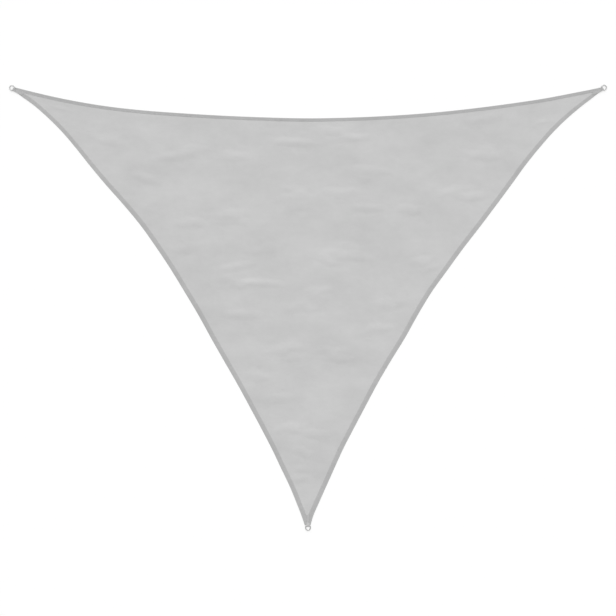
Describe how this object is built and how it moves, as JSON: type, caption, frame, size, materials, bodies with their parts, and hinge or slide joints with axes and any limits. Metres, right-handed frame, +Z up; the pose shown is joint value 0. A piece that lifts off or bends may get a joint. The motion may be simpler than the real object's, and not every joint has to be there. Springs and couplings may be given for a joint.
{
  "type": "triangular shade sail",
  "caption": "Flat triangular knitted sail with edges curved in, a folded hem, and a webbing loop with a steel D-ring at every corner.",
  "frame": {"origin": "on the ground under the middle of the sail's plan box, with the sail lying flat", "axes": "+X along the long edge, from the left ring to the right ring; +Y from the foot corner towards the long edge; +Z up, out of the sail's upper face"},
  "size_m": [5.0488, 3.767, 0.0128],
  "materials": {
    "knitted_cloth": "matt light grey knitted polyethylene mesh",
    "webbing": "grey woven webbing",
    "stainless_steel": "satin stainless steel wire"
  },
  "bodies": {
    "root": {"sail_cloth": "knitted_cloth", "webbing_left": "webbing", "webbing_right": "webbing", "webbing_foot": "webbing", "ring_left": "stainless_steel", "ring_right": "stainless_steel", "ring_foot": "stainless_steel"}
  },
  "joints": []
}
